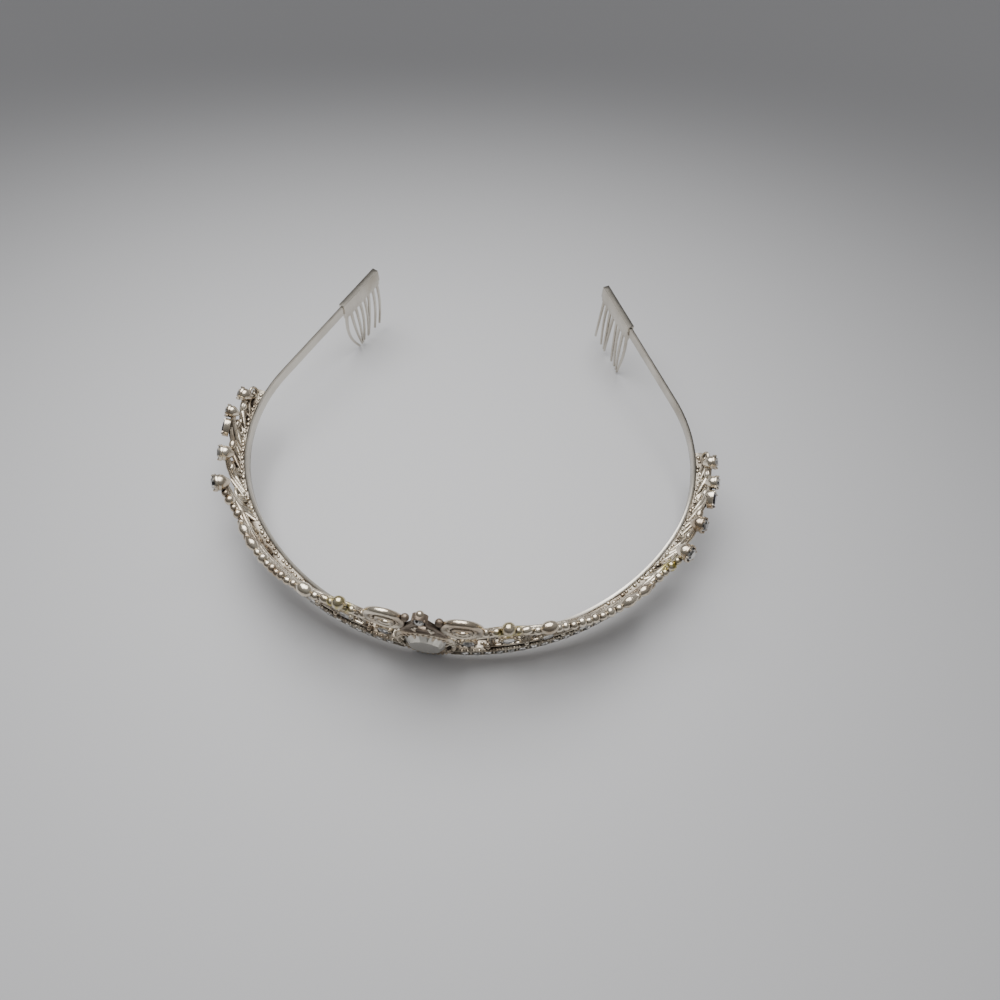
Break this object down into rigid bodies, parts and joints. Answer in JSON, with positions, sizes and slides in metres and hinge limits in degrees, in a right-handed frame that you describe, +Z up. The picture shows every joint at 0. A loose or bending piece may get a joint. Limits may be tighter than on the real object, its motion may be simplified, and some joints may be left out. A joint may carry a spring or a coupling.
{
  "type": "tiara",
  "caption": "Silver-toned pageant tiara: flat headband with a pierced cast crown of loops, arches, beads and cut stones, tip settings on slanting stems and a comb at each end.",
  "frame": {"origin": "on the surface the tiara rests on, below the centre of the headband's wide front curve", "axes": "-Y out through the front of the crown, +Z up, +X to the right as seen from the front"},
  "size_m": [0.1465, 0.1317, 0.0306],
  "materials": {
    "cast_silver": "bright silver plate, tarnished warm in the hollows",
    "comb_silver": "satin silver plate",
    "clear_stone": "cut and foil backed",
    "tinted_stone": "cut and foil backed, darker"
  },
  "bodies": {
    "root": {"crown_frame": "cast_silver", "comb_left": "comb_silver", "comb_right": "comb_silver", "centre_stone": "clear_stone", "peak_stone": "clear_stone", "drop_stone_left": "tinted_stone", "drop_stone_right": "tinted_stone", "lower_row_stones": "clear_stone", "tip_stone_left_1": "clear_stone", "tip_stone_left_2": "clear_stone", "tip_stone_left_3": "clear_stone", "tip_stone_left_4": "clear_stone", "tip_stone_right_1": "clear_stone", "tip_stone_right_2": "clear_stone", "tip_stone_right_3": "clear_stone", "tip_stone_right_4": "clear_stone", "panel_stone_left_1": "clear_stone", "panel_stone_left_2": "clear_stone", "panel_stone_left_3": "clear_stone", "panel_stone_left_4": "clear_stone", "panel_stone_left_5": "clear_stone", "panel_stone_left_6": "clear_stone", "panel_stone_right_1": "clear_stone", "panel_stone_right_2": "clear_stone", "panel_stone_right_3": "clear_stone", "panel_stone_right_4": "clear_stone", "panel_stone_right_5": "clear_stone", "panel_stone_right_6": "clear_stone"}
  },
  "joints": []
}
